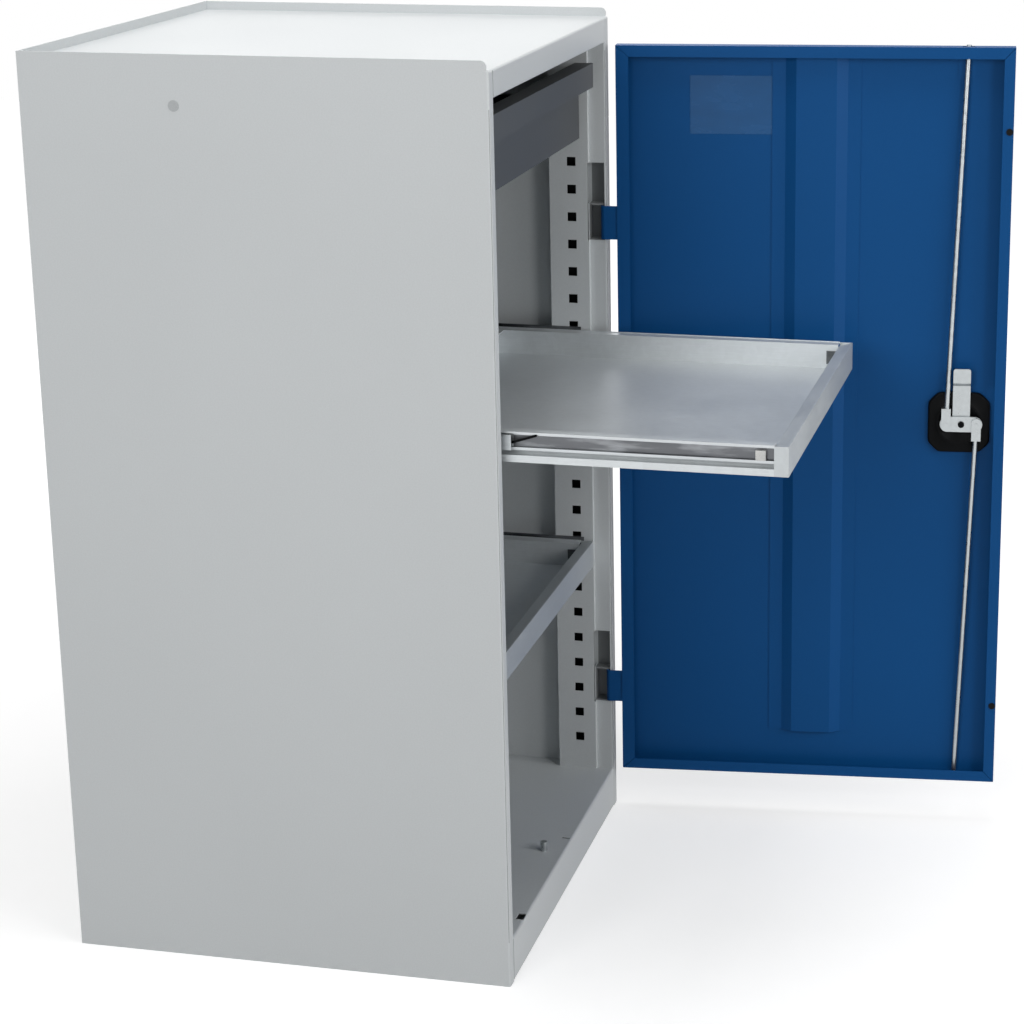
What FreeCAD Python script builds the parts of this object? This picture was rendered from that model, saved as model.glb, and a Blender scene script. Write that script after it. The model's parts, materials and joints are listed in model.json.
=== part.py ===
"""Tool cabinet: a sheet-steel cabinet with one hinged door, a drawer and two pull-out shelves.

Origin: centre of the footprint on the floor. +X is the hinge side, the front faces -Y, +Z is up.
"""
import FreeCAD, Part
import Sketcher
import os
import re

doc = FreeCAD.newDocument("tool_cabinet")

# Driving sizes in millimetres and degrees, one cell each
SIZES = [
    ("width", 500.0, "outside width"),
    ("depth", 500.0, "outside depth"),
    ("height", 1000.0, "height to the top of the rim"),
    ("carcass_sheet", 1.0, "sheet of the carcass"),
    ("top_rim", 10.0, "rim that stands above the top plate"),
    ("rim_corner", 6.0, "rounded front corner of the rim"),
    ("edge_radius", 2.5, "outside radius of the visible folds"),
    ("strip_height", 29.0, "front strip over the opening"),
    ("strip_return", 20.0, "return of the front strip"),
    ("plate_flange", 15.0, "weld flanges of the top plate and the rear corners"),
    ("floor_height", 51.0, "top of the cabinet floor"),
    ("base_return", 20.0, "returns that stand on the ground"),
    ("floor_return", 42.0, "return under the floor's front lip"),
    ("beam_width", 60.0, "beam under the cabinet floor"),
    ("beam_flange", 15.0, "flanges of the floor beam"),
    ("jamb_width", 16.0, "front face beside the opening"),
    ("rebate_depth", 21.0, "door rebate"),
    ("step_width", 6.0, "step that the door closes against"),
    ("step_return", 5.0, "return behind the step"),
    ("back_joint", 10.0, "place of the lap joint in the back"),
    ("back_lap", 12.0, "overlap of the back sheets"),
    ("upright_width", 42.4, "perforated upright, front to back"),
    ("upright_sheet", 1.5, "sheet of the uprights"),
    ("hole_size", 10.8, "square hole in the uprights"),
    ("hole_pitch", 33.1, "pitch of the square holes"),
    ("hole_first", 93.3, "height of the lowest hole"),
    ("hole_margin", 12.0, "least distance from a hole to the upright's top"),
    ("hole_offset", 15.5, "hole centre from the upright's front edge"),
    ("plug_diameter", 10.0, "plug in the side wall"),
    ("plug_head", 0.6, "plug head"),
    ("plug_rim", 0.8, "plug head round the shank"),
    ("plug_shank", 5.0, "plug length"),
    ("plug_place", 81.3, "plug behind the cabinet centre"),
    ("plug_drop", 42.1, "plug centre below the top plate"),
    ("peg_diameter", 8.0, "stop peg on the floor"),
    ("peg_height", 11.0, "stop peg height"),
    ("peg_place", -15.0, "stop peg from the centre"),
    ("peg_gap", 0.5, "gap between the peg and the closed door"),
    ("drain_place", 22.0, "drain slot from the centre"),
    ("drain_length", 9.5, "drain slot, front to back"),
    ("drain_width", 3.6, "drain slot width"),
    ("drain_edge", 3.0, "drain slot behind the front face"),
    ("door_free_gap", 1.5, "gap at the door's free edge"),
    ("door_hinge_gap", 5.0, "gap at the door's hinge edge"),
    ("door_top_gap", 2.5, "gap over the door"),
    ("door_bottom_gap", 3.0, "gap under the door"),
    ("door_thickness", 20.0, "door thickness"),
    ("door_sheet", 1.0, "sheet of the door"),
    ("door_edge", 2.0, "rounded outer edges of the door"),
    ("rim_hinge", 15.0, "door rim at the hinge edge"),
    ("rim_top", 13.25, "door rim at the top"),
    ("rim_free", 12.5, "door rim at the free edge"),
    ("rim_bottom", 13.0, "door rim at the bottom"),
    ("mitre_gap", 0.8, "open mitre at the rim corners"),
    ("door_angle", 96.0, "how far the door stands open"),
    ("pin_inset", 5.0, "hinge pin from the front and side faces"),
    ("pin_diameter", 4.0, "hinge pin"),
    ("pin_play", 0.08, "radial play on the hinge pin"),
    ("pin_end", 1.0, "pin beyond its bearing ears"),
    ("eye_wall", 1.6, "wall of the rolled eye"),
    ("strap_sheet", 2.0, "hinge strap thickness"),
    ("strap_height", 40.0, "hinge strap height"),
    ("strap_bend", 3.5, "hinge strap bend, at its middle"),
    ("strap_foot", 13.0, "strap inside the door"),
    ("strap_drop", 232.2, "bottom of the upper strap below the opening's top"),
    ("strap_rise", 91.8, "bottom of the lower strap above the floor"),
    ("hinge_slot", 92.7, "height of the slots in the rebate"),
    ("hinge_slot_start", 1.5, "slot below the strap"),
    ("hinge_slot_land", 3.0, "metal left in front of the slot"),
    ("ear_sheet", 2.0, "hinge bearing ears"),
    ("fit_gap", 0.3, "running gap between moving pieces"),
    ("hat_start", 182.0, "door stiffener from the hinge edge"),
    ("hat_flange", 15.6, "weld flange of the stiffener"),
    ("hat_slope", 12.7, "sloping side of the stiffener"),
    ("hat_face", 47.1, "face of the stiffener"),
    ("hat_height", 8.0, "height of the stiffener"),
    ("hat_bottom", 107.0, "bottom of the stiffener"),
    ("hat_top_gap", 4.0, "gap between the stiffener and the top fold"),
    ("label_start", 85.7, "film from the hinge edge"),
    ("label_width", 96.0, "film width"),
    ("label_drop", 36.6, "film below the door's top"),
    ("label_height", 68.4, "film height"),
    ("label_film", 0.3, "film thickness"),
    ("buffer_diameter", 8.0, "rubber buffer on the rim"),
    ("buffer_height", 0.8, "rubber buffer height"),
    ("buffer_edge", 4.6, "buffer centre from the free edge"),
    ("buffer_drop", 96.7, "upper buffer below the door's top"),
    ("buffer_rise", 100.5, "lower buffer above the door's bottom"),
    ("lock_place", 51.2, "lock axis from the free edge"),
    ("lock_height", 510.0, "lock axis height"),
    ("housing_width", 73.6, "lock housing width and height"),
    ("housing_corner", 15.0, "cut corners of the housing"),
    ("housing_thickness", 7.0, "lock housing thickness"),
    ("housing_bore", 11.5, "bore that the spindle turns in"),
    ("door_bore", 15.0, "hole in the door sheet round the spindle"),
    ("housing_offset", 2.6, "housing centre beside the lock axis"),
    ("housing_screw", 4.0, "screws of the housing"),
    ("screw_head", 7.5, "screw head diameter"),
    ("screw_head_height", 2.2, "screw head height"),
    ("screw_socket", 3.8, "socket in a screw head"),
    ("screw_seat", 2.0, "screw ends behind the rosette's face"),
    ("screw_place", 19.0, "lock screws beside the axis"),
    ("spindle_side", 8.0, "square spindle"),
    ("tongue_width", 20.6, "lock tongue width"),
    ("tongue_reach", 68.2, "lock tongue length beyond the axis"),
    ("tongue_corner", 3.0, "rounded corners of the tongue's tip"),
    ("tongue_bend", 46.7, "bend above the axis"),
    ("tongue_step", 4.0, "offset of the bent end"),
    ("tongue_setback", 1.2, "front of the bend above its back"),
    ("keeper_play", 1.5, "play of the tongue in its slots"),
    ("bar_sheet", 3.0, "thickness of the tongue and the cam"),
    ("cam_width", 18.7, "cam width"),
    ("cam_pin_radius", 18.0, "rod pins from the axis"),
    ("cam_end", 2.2, "pin from the middle of the cam's rounded end"),
    ("cam_pin", 5.0, "rod pin diameter"),
    ("rod_diameter", 6.0, "lock rod"),
    ("rod_start", 13.4, "rod end from the axis height"),
    ("rod_tip", 1.95, "rod axis beside the lock axis at the door's edge"),
    ("rod_depth", 4.0, "rod axis behind the door sheet at the door's edge"),
    ("rod_proud", 1.5, "upper rod above the door"),
    ("rod_sway", 7.2, "half length of the rod slots"),
    ("rod_shift", 2.4, "middle of a rod slot beside the lock axis"),
    ("rod_slot_edge", 0.2, "rod slot behind the door sheet"),
    ("rod_slot_depth", 8.8, "rod slot, front to back"),
    ("rod_offset", 3.9, "rod axis behind the housing at the lock's height"),
    ("rod_retract", 2.0, "lower rod's end above the door's bottom edge"),
    ("holder_width", 11.0, "rod holder width"),
    ("holder_foot", 8.0, "rod holder below its pin"),
    ("socket_depth", 6.2, "how far a rod sits in its holder"),
    ("socket_end", 2.0, "closed end of the socket"),
    ("holder_sheet", 3.0, "rod holder plate"),
    ("guide_width", 21.3, "plate behind the upper rod"),
    ("guide_height", 23.3, "height of that plate"),
    ("guide_drop", 14.5, "that plate below the door's top"),
    ("guide_sheet", 0.8, "thickness of that plate"),
    ("rosette_diameter", 54.0, "handle rosette"),
    ("rosette_height", 6.0, "handle rosette height"),
    ("hub_diameter", 30.0, "handle hub"),
    ("hub_height", 17.0, "handle hub height"),
    ("grip_length", 96.0, "handle grip length"),
    ("grip_width", 18.0, "handle grip width"),
    ("grip_height", 11.0, "handle grip thickness"),
    ("key_diameter", 16.0, "key cylinder"),
    ("key_proud", 0.8, "key cylinder in front of the hub"),
    ("key_slot_width", 1.6, "key slot width"),
    ("key_slot_length", 8.0, "key slot length"),
    ("key_slot_depth", 6.0, "key slot depth"),
    ("key_depth", 12.0, "key cylinder length in the hub"),
    ("drawer_hole_count", 2, "holes over the one that carries the drawer"),
    ("upper_hole_count", 15, "holes under the one that carries the upper shelf"),
    ("lower_hole_count", 7, "holes under the one that carries the lower shelf"),
    ("upper_shelf_out", 316.5, "how far the upper shelf stands out"),
    ("tray_gap", 2.0, "gap between a tray and the uprights"),
    ("tray_flange", 13.0, "side flange over the slides"),
    ("tray_sheet", 1.0, "sheet of the trays"),
    ("tray_height", 31.6, "shelf tray height"),
    ("tray_rear_gap", 49.5, "trays in front of the back"),
    ("tray_floor_lift", 2.0, "tray floor above the side flanges"),
    ("tray_lip", 0.8, "edge over the side flanges"),
    ("tray_hem", 7.5, "lip under the slides"),
    ("tray_rear_flange", 10.0, "rear flange of a tray"),
    ("front_depth", 15.0, "front profile of a shelf"),
    ("front_crest", 1.6, "flat crest of the front profile"),
    ("front_slope_height", 3.2, "fall of the inner slope"),
    ("shelf_door_gap", 0.5, "gap between a shelf and the closed door"),
    ("clip_width", 11.0, "corner clip width"),
    ("clip_height", 15.6, "corner clip height"),
    ("clip_sheet", 1.2, "corner clip thickness"),
    ("clip_slot", 1.6, "slots in a corner clip"),
    ("clip_slot_low", 9.4, "lower slot above the clip's bottom"),
    ("clip_slot_high", 12.5, "upper slot above the clip's bottom"),
    ("clip_margin", 1.8, "corner clip beside its slots"),
    ("clip_drop", 12.0, "corner clip below the slide's middle"),
    ("clip_place", 17.6, "corner clip behind the shelf front"),
    ("stop_size", 10.5, "white rail stop"),
    ("stop_place", 8.8, "rail stop behind the tray rail's front"),
    ("stop_depth", 4.5, "rail stop thickness"),
    ("rail_height", 19.4, "slide rail height"),
    ("rail_lip", 3.0, "lips at the rails' open edges"),
    ("rail_sheet", 1.2, "slide rail sheet"),
    ("rail_gap", 0.45, "gap over and under the rails"),
    ("tray_rail_depth", 5.0, "tray rail, side to side"),
    ("cabinet_rail_depth", 6.2, "cabinet rail, side to side"),
    ("middle_rail_drop", 3.6, "crossbar of the middle rail below the slide's middle"),
    ("middle_rail_end", 14.5, "middle rail's rear end in front of the cabinet rail's"),
    ("middle_rail_start", 114.5, "middle rail's front end behind the cabinet rail's"),
    ("cabinet_rail_start", 1.0, "cabinet rail behind the closed shelf profile"),
    ("hook_plate", 0.8, "hook plate thickness"),
    ("hook_plate_width", 14.0, "hook plate width"),
    ("hook_plate_margin", 6.0, "hook plate below its hooks' holes"),
    ("carrier_front", 9.0, "carrier strip in front of the first hook's hole"),
    ("carrier_below", 17.0, "carrier strip below the slide's middle"),
    ("carrier_above", 15.5, "carrier strip above the slide's middle"),
    ("hook_height", 4.3, "hook height"),
    ("hook_reach", 3.0, "hook through the upright"),
    ("hook_lip", 4.0, "hook behind the upright"),
    ("lever_length", 38.0, "slide release lever"),
    ("lever_thickness", 1.6, "release lever thickness"),
    ("lever_height", 2.5, "release lever height"),
    ("lever_rise", 8.5, "rise of the release lever"),
    ("lever_back", 12.0, "release lever behind the middle rail's front"),
    ("drawer_gap", 22.0, "drawer front inside the rebate faces"),
    ("drawer_front_height", 88.0, "drawer front height"),
    ("drawer_below", 19.15, "drawer front below its slides' middle"),
    ("drawer_lip_height", 28.0, "face of the grip lip"),
    ("drawer_lip_depth", 17.5, "grip lip in front of the drawer face"),
    ("drawer_lip_fall", 9.0, "slope under the grip lip"),
    ("drawer_face_gap", 7.0, "drawer face behind the closed door's rim"),
    ("drawer_return", 15.0, "bottom return of the drawer front"),
    ("drawer_top_return", 3.8, "top return of the drawer front behind its face"),
    ("drawer_wall", 50.0, "drawer side wall height"),
    ("drawer_hem", 9.0, "hem of the drawer walls"),
]

sheet = doc.addObject("Spreadsheet::Sheet", "Sizes")
for row, (name, value, words) in enumerate(SIZES, 1):
    sheet.set(f"A{row}", name)
    sheet.set(f"B{row}", str(value))
    sheet.set(f"C{row}", words)
    sheet.setAlias(f"B{row}", name)
doc.recompute()
NAMES = {name for name, value, words in SIZES}

# Places that several pieces share, as expressions on the cells
FRONT = "(-depth / 2)"
BACK = "(depth / 2)"
SIDE = "(width / 2)"
WALL = "(width / 2 - carcass_sheet)"
TOP = "(height - top_rim)"
PLUG = ("plug_place", f"({TOP} - plug_drop)")
OPENING_TOP = "(height - top_rim - strip_height)"
REBATE_X = "(width / 2 - jamb_width)"
STEP_X = "(width / 2 - jamb_width - step_width)"
REBATE_Y = "(-depth / 2 + rebate_depth)"
RETURN_Y = "(-depth / 2 + rebate_depth + step_return)"
UPRIGHT_Y = RETURN_Y
HOLE_Y = f"({UPRIGHT_Y} + hole_offset)"

UPPER_STRAP = f"({OPENING_TOP} - strap_drop)"
LOWER_STRAP = "(floor_height + strap_rise)"
DOOR_HINGE = f"({REBATE_X} - door_hinge_gap)"
DOOR_FREE = f"(-{REBATE_X} + door_free_gap)"
DOOR_TOP = f"({OPENING_TOP} - door_top_gap)"
DOOR_BOTTOM = "(floor_height + door_bottom_gap)"
DOOR_BACK = f"({FRONT} + door_thickness)"
DOOR_INNER = f"({FRONT} + door_sheet)"
PIN_X = "(width / 2 - pin_inset)"
PIN_Y = "(-depth / 2 + pin_inset)"
LOCK_X = f"({DOOR_FREE} + lock_place)"
ROD_RISE = f"({DOOR_TOP} - lock_height)"
ROD_DROP = f"(lock_height - {DOOR_BOTTOM})"
HOUSING_Y = f"({DOOR_INNER} + housing_thickness)"
TONGUE_Y = f"({HOUSING_Y} + fit_gap)"
CAM_Y = f"({TONGUE_Y} + bar_sheet)"
CAM_FACE = f"({CAM_Y} + bar_sheet)"
HOLDER_Y = f"({CAM_FACE} + fit_gap)"
ROSETTE_Y = f"({FRONT} - rosette_height)"
HUB_Y = f"({ROSETTE_Y} - fit_gap)"
HUB_FACE = f"({HUB_Y} - hub_height)"

WEB_X = f"({STEP_X} - tray_gap - tray_flange)"
TRAY_X = f"({STEP_X} - tray_gap)"
SHELF_FRONT = f"({DOOR_BACK} + shelf_door_gap)"
TRAY_BACK = f"({BACK} - tray_rear_gap)"
RAIL_FRONT = f"({SHELF_FRONT} + front_depth + cabinet_rail_start)"
RAIL_BACK = f"(-{HOLE_Y} + hook_plate_width / 2)"
HOLES_UP = f"floor(({OPENING_TOP} - hole_margin - hole_first) / hole_pitch)"
DRAWER_HOLE = f"({HOLES_UP} - drawer_hole_count)"

pieces = []


def cells(text):
    """Turns the plain names in an expression into references to the size cells."""
    def reference(word):
        return "Sizes." + word[0] if word[0] in NAMES else word[0]

    return re.sub(r"[a-z_][a-z_0-9]*", reference, str(text))


def number(text):
    """The present value of an expression."""
    return float(sheet.evalExpression(cells(text)))


def bind(thing, values):
    for prop, text in values.items():
        thing.setExpression(prop, cells(text))


def box(x, y, z):
    """A block between a low and a high value along each axis."""
    block = doc.addObject("Part::Box", "Block")
    for prop, axis, (low, high) in (("Length", "x", x), ("Width", "y", y), ("Height", "z", z)):
        bind(block, {prop: f"({high}) - ({low})", f"Placement.Base.{axis}": low})
    return block


def mirrored_boxes(x, y, z):
    """The same block on the right and on the left."""
    low, high = x
    return [box(x, y, z), box((f"-({high})", f"-({low})"), y, z)]


TURNS = {
    "z": FreeCAD.Rotation(),
    "x": FreeCAD.Rotation(FreeCAD.Vector(0, 1, 0), 90),
    "y": FreeCAD.Rotation(FreeCAD.Vector(1, 0, 0), -90),
}


def cylinder(axis, radius, centre, span):
    """A cylinder along an axis; centre holds the two other coordinates in X, Y, Z order."""
    low, high = span
    solid = doc.addObject("Part::Cylinder", "Round")
    solid.Placement = FreeCAD.Placement(FreeCAD.Vector(), TURNS[axis])
    others = [name for name in "xyz" if name != axis]
    bind(solid, {"Radius": radius, "Height": f"({high}) - ({low})", f"Placement.Base.{axis}": low})
    for name, text in zip(others, centre):
        bind(solid, {f"Placement.Base.{name}": text})
    return solid


def fuse(parts):
    joined = doc.addObject("Part::MultiFuse", "Joined")
    joined.Shapes = parts
    joined.Refine = True
    return joined


def cut(base, tools):
    rest = doc.addObject("Part::Cut", "Rest")
    rest.Base = base
    rest.Tool = tools[0] if len(tools) == 1 else fuse(tools)
    return rest


def group(parts):
    """Separate solids that share one node."""
    holder = doc.addObject("Part::Compound", "Group")
    holder.Links = parts
    return holder


def mirror(source, normal):
    """A mirror image through the origin."""
    image = doc.addObject("Part::Mirroring", "Mirrored")
    image.Source = source
    image.Normal = FreeCAD.Vector(*normal)
    return image


def rounded(base, radius, wanted):
    """Rounds the edges whose middle and direction the test wanted accepts."""
    doc.recompute()
    size = number(radius)
    chosen = []
    for index, edge in enumerate(base.Shape.Edges, 1):
        if len(edge.Vertexes) == 2 and edge.Curve.TypeId == "Part::GeomLine":
            if wanted(edge.CenterOfMass, edge.Curve.Direction):
                chosen.append((index, size, size))
    fillet = doc.addObject("Part::Fillet", "Rounded")
    fillet.Base = base
    fillet.Edges = chosen
    return fillet


PLANES = {"xy": "XY_Plane", "xz": "XZ_Plane", "yz": "YZ_Plane"}
NORMALS = {"xy": "z", "xz": "y", "yz": "x"}


def sketch_on(body, plane, corners):
    """A closed polygon on an origin plane with each corner bound to expressions."""
    sketch = body.newObject("Sketcher::SketchObject", "Outline")
    origin_plane = [item for item in body.Origin.OriginFeatures if item.Role == PLANES[plane]][0]
    sketch.AttachmentSupport = [(origin_plane, "")]
    sketch.MapMode = "FlatFace"
    points = [FreeCAD.Vector(number(across), number(up), 0) for across, up in corners]
    for index, point in enumerate(points):
        sketch.addGeometry(Part.LineSegment(point, points[(index + 1) % len(points)]))
    for index in range(len(points)):
        sketch.addConstraint(Sketcher.Constraint("Coincident", index, 2, (index + 1) % len(points), 1))
    for index, (point, corner) in enumerate(zip(points, corners)):
        for kind, value, text in zip(("DistanceX", "DistanceY"), (point.x, point.y), corner):
            place = sketch.addConstraint(Sketcher.Constraint(kind, -1, 1, index, 1, value))
            sketch.setExpression(f"Constraints[{place}]", cells(text))
    return sketch


def prism(plane, corners, span):
    """A polygon padded from a low to a high value along the plane's normal."""
    low, high = span
    body = doc.addObject("PartDesign::Body", "Profile")
    pad = body.newObject("PartDesign::Pad", "Pad")
    pad.Profile = sketch_on(body, plane, corners)
    pad.setExpression("Length", cells(f"({high}) - ({low})"))
    start = high if plane == "xz" else low
    bind(body, {f"Placement.Base.{NORMALS[plane]}": start})
    return body


def finish(name, solid, placement=None):
    """Names a piece, places it and keeps it for export."""
    if placement:
        solid = group([solid])
        bind(solid, {"Placement": placement})
    solid.Label = name
    pieces.append(solid)
    return solid


ON_DOOR = (
    f"placement(vector({PIN_X}; {PIN_Y}; 0); rotation(vector(0; 0; 1); door_angle))"
    f" * placement(vector(-{PIN_X}; -{PIN_Y}; 0); rotation(vector(0; 0; 1); 0))"
)


def pulled(out):
    return f"placement(vector(0; -({out}); 0); rotation(vector(0; 0; 1); 0))"


# Carcass

def is_upright_edge(direction):
    return abs(direction.z) > 0.99


def ordered(one, other):
    """Two places as a low and a high one."""
    return (one, other) if number(one) < number(other) else (other, one)


def along(axis, span, first, second):
    """A block from its extent along an axis and across it, in X, Y, Z order."""
    extents = dict(zip([name for name in "xyz" if name != axis], (first, second)))
    extents[axis] = span
    return box(extents["x"], extents["y"], extents["z"])


def fold_corner(axis, corner, inward, start, radius, span):
    """What lies between a square corner, start from the outer faces, and the bend's radius."""
    centre = [f"({place} {sign} edge_radius)" for place, sign in zip(corner, inward)]
    begin = [f"({place} {sign} ({start}))" for place, sign in zip(corner, inward)]
    block = along(axis, span, ordered(begin[0], centre[0]), ordered(begin[1], centre[1]))
    return cut(block, [cylinder(axis, radius, centre, (f"{span[0]} - 1", f"{span[1]} + 1"))])


def fold_waste(axis, corner, inward, span):
    """The outer corner that comes off a fold."""
    return fold_corner(axis, corner, inward, "-1", "edge_radius", span)


def fold_filling(axis, corner, inward, span):
    """The inner corner that a fold fills."""
    return fold_corner(axis, corner, inward, "carcass_sheet", "edge_radius - carcass_sheet", span)


def side_blank():
    """Right-hand side wall with its folded jamb, rear flange, base return and rim hem."""
    sheet_edge = f"{FRONT} + carcass_sheet"
    upright = ("0", f"{TOP} - carcass_sheet")
    rebate_back = f"{REBATE_Y} + carcass_sheet"
    rear_y = (f"{BACK} - 2 * carcass_sheet", f"{BACK} - carcass_sheet")
    rim_front = f"({FRONT} + edge_radius)"
    blank = fuse([
        box((WALL, SIDE), (FRONT, f"{BACK} - carcass_sheet"), upright),
        box((WALL, SIDE), (rim_front, f"{BACK} - carcass_sheet"), ("0", "height")),
        box((f"{WALL} - carcass_sheet", WALL), (rim_front, f"{BACK} - carcass_sheet"), (TOP, "height")),
        box((REBATE_X, SIDE), (FRONT, sheet_edge), upright),
        box((REBATE_X, f"{REBATE_X} + carcass_sheet"), (FRONT, rebate_back), upright),
        box((STEP_X, f"{REBATE_X} + carcass_sheet"), (REBATE_Y, rebate_back), upright),
        box((STEP_X, f"{STEP_X} + carcass_sheet"), (REBATE_Y, RETURN_Y), upright),
        box((f"{WALL} - plate_flange", WALL), rear_y, upright),
        box((f"{WALL} - base_return", WALL), (f"{RETURN_Y} + carcass_sheet", f"{BACK} - carcass_sheet"),
            ("0", "carcass_sheet")),
    ])
    folds = (((SIDE, FRONT), "-+"), ((REBATE_X, FRONT), "++"))
    wastes = [fold_waste("z", corner, inward, upright) for corner, inward in folds]
    wastes.append(fold_waste("x", (FRONT, TOP), "+-", (REBATE_X, SIDE)))
    fillings = [fold_filling("z", corner, inward, upright) for corner, inward in folds]
    bent = fuse([cut(blank, wastes), *fillings])
    plug_hole = cylinder("x", "plug_diameter / 2", PLUG, (f"{WALL} - 1", f"{SIDE} + 1"))
    return cut(bent, [plug_hole, rim_corner_waste()])


def rim_corner_waste():
    """What is cut away at the rim's front corner to leave it rounded."""
    across = (f"{WALL} - 2 * carcass_sheet", f"{SIDE} + 1")
    corner = (f"({FRONT} + edge_radius + rim_corner)", "(height - rim_corner)")
    block = box(across, (f"{FRONT} - 1", corner[0]), (corner[1], "height + 1"))
    return cut(block, [cylinder("x", "rim_corner", corner, (f"{across[0]} - 1", f"{across[1]} + 1"))])


def hinge_slot(bottom):
    """Slot through the rebate face and the step for one hinge strap."""
    return box((f"{STEP_X} - 1", f"{REBATE_X} + carcass_sheet + 1"),
               (f"{FRONT} + hinge_slot_land", f"{REBATE_Y} + carcass_sheet + fit_gap"),
               (f"{bottom} - hinge_slot_start", f"{bottom} - hinge_slot_start + hinge_slot"))


def keeper_slot(edge, distance, sheet):
    """Slot for the turned lock tongue through an upright sheet at a distance from the lock axis."""
    rise = f"sqrt(tongue_reach^2 + tongue_width^2 / 4 - ({distance})^2)"
    return box((f"{edge} - 1", f"{edge} + {sheet} + 1"),
               (f"{TONGUE_Y} - keeper_play", f"{TONGUE_Y} + tongue_step + bar_sheet + keeper_play"),
               ("lock_height - tongue_width / 2 - keeper_play", f"lock_height + {rise} + keeper_play"))


def sides():
    blank = side_blank()
    keeper = keeper_slot(f"-({REBATE_X} + carcass_sheet)", "lock_place + door_free_gap", "carcass_sheet")
    finish("left_side_panel", cut(mirror(blank, (1, 0, 0)), [keeper]))
    finish("right_side_panel", cut(blank, [hinge_slot(UPPER_STRAP), hinge_slot(LOWER_STRAP)]))


def backs():
    """The back is two sheets that lap near the middle, each with a hem on the rim."""
    face = (f"{BACK} - carcass_sheet", BACK)
    inner = (f"{BACK} - 2 * carcass_sheet", f"{BACK} - carcass_sheet")
    hem_x = f"{WALL} - carcass_sheet"
    finish("back_panel_left", fuse([
        box((f"-{SIDE}", "back_joint"), face, ("0", "height")),
        box((f"-({hem_x})", "back_joint"), inner, (TOP, "height")),
    ]))
    finish("back_panel_right", fuse([
        box(("back_joint", SIDE), face, ("0", "height")),
        box(("back_joint", hem_x), inner, (TOP, "height")),
        box(("back_joint - back_lap", "back_joint + back_lap"), inner,
            ("floor_height", f"{TOP} - plate_flange - carcass_sheet")),
    ]))


def rod_slot(side, span):
    """Slot that a lock rod passes; side is + for the upper rod and - for the lower one."""
    middle = f"({LOCK_X} {side} rod_shift)"
    return box((f"{middle} - rod_sway", f"{middle} + rod_sway"),
               (f"{DOOR_INNER} + rod_slot_edge", f"{DOOR_INNER} + rod_slot_edge + rod_slot_depth"), span)


def top():
    inner_edge = f"{WALL} - carcass_sheet"
    across = (f"-{WALL}", WALL)
    strip = (f"-{REBATE_X}", REBATE_X)
    flange_end = f"{WALL} - plate_flange - carcass_sheet"
    plate = fuse([
        box(across, (FRONT, f"{BACK} - carcass_sheet"), (f"{TOP} - carcass_sheet", TOP)),
        box(strip, (FRONT, f"{FRONT} + carcass_sheet"), (OPENING_TOP, TOP)),
        box(strip, (FRONT, f"{FRONT} + strip_return"), (OPENING_TOP, f"{OPENING_TOP} + carcass_sheet")),
        box((f"-({flange_end})", flange_end),
            (f"{BACK} - 2 * carcass_sheet", f"{BACK} - carcass_sheet"), (f"{TOP} - plate_flange", TOP)),
        *mirrored_boxes((inner_edge, WALL), (RETURN_Y, f"{BACK} - 2 * carcass_sheet"),
                        (f"{TOP} - plate_flange", TOP)),
    ])
    high, low = ((FRONT, TOP), "+-"), ((FRONT, OPENING_TOP), "++")
    folded = fuse([
        cut(plate, [fold_waste("x", *high, across), fold_waste("x", *low, strip)]),
        fold_filling("x", *high, strip),
        fold_filling("x", *low, strip),
    ])
    finish("top_panel", cut(folded, [rod_slot("+", (f"{OPENING_TOP} - 1", f"{OPENING_TOP} + edge_radius"))]))


def floor():
    under = "floor_height - carcass_sheet"
    rear = f"{BACK} - 2 * carcass_sheet"
    strip = (f"-{REBATE_X}", REBATE_X)
    ground = ("0", "carcass_sheet")
    plate = fuse([
        box((f"-{WALL}", WALL), (RETURN_Y, rear), (under, "floor_height")),
        box((f"-{STEP_X}", STEP_X), (REBATE_Y, RETURN_Y), (under, "floor_height")),
        box(strip, (FRONT, REBATE_Y), (under, "floor_height")),
        box(strip, (FRONT, f"{FRONT} + carcass_sheet"), ("0", "floor_height")),
        box(strip, (FRONT, REBATE_Y), ground),
        box((f"-{STEP_X}", STEP_X), (REBATE_Y, f"{FRONT} + floor_return"), ground),
        *mirrored_boxes((f"{WALL} - carcass_sheet", WALL), (RETURN_Y, rear),
                        (f"{under} - plate_flange", under)),
    ])
    high, low = ((FRONT, "floor_height"), "+-"), ((FRONT, "0"), "++")
    folded = fuse([
        cut(plate, [fold_waste("x", *high, strip), fold_waste("x", *low, strip)]),
        fold_filling("x", *high, strip),
        fold_filling("x", *low, strip),
    ])
    through = ("floor_height - edge_radius", "floor_height + 1")
    drain = box(("drain_place - drain_width / 2", "drain_place + drain_width / 2"),
                (f"{FRONT} + drain_edge", f"{FRONT} + drain_edge + drain_length"), through)
    finish("floor_panel", cut(folded, [rod_slot("-", through), drain]))
    beam_end = f"{WALL} - base_return - carcass_sheet"
    beam_x = (f"-({beam_end})", beam_end)
    half = "beam_width / 2"
    flange_top = (f"{under} - carcass_sheet", under)
    finish("floor_beam", fuse([
        box(beam_x, (f"-{half}", half), ("0", "carcass_sheet")),
        box(beam_x, (f"-{half}", f"-{half} + carcass_sheet"), ("0", under)),
        box(beam_x, (f"{half} - carcass_sheet", half), ("0", under)),
        box(beam_x, (f"-{half} - beam_flange", f"-{half} + carcass_sheet"), flange_top),
        box(beam_x, (f"{half} - carcass_sheet", f"{half} + beam_flange"), flange_top),
    ]))
    peg_y = f"{DOOR_BACK} + peg_gap + peg_diameter / 2"
    finish("floor_peg", cylinder("z", "peg_diameter / 2", ("peg_place", peg_y),
                                 ("floor_height", "floor_height + peg_height")))


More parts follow.
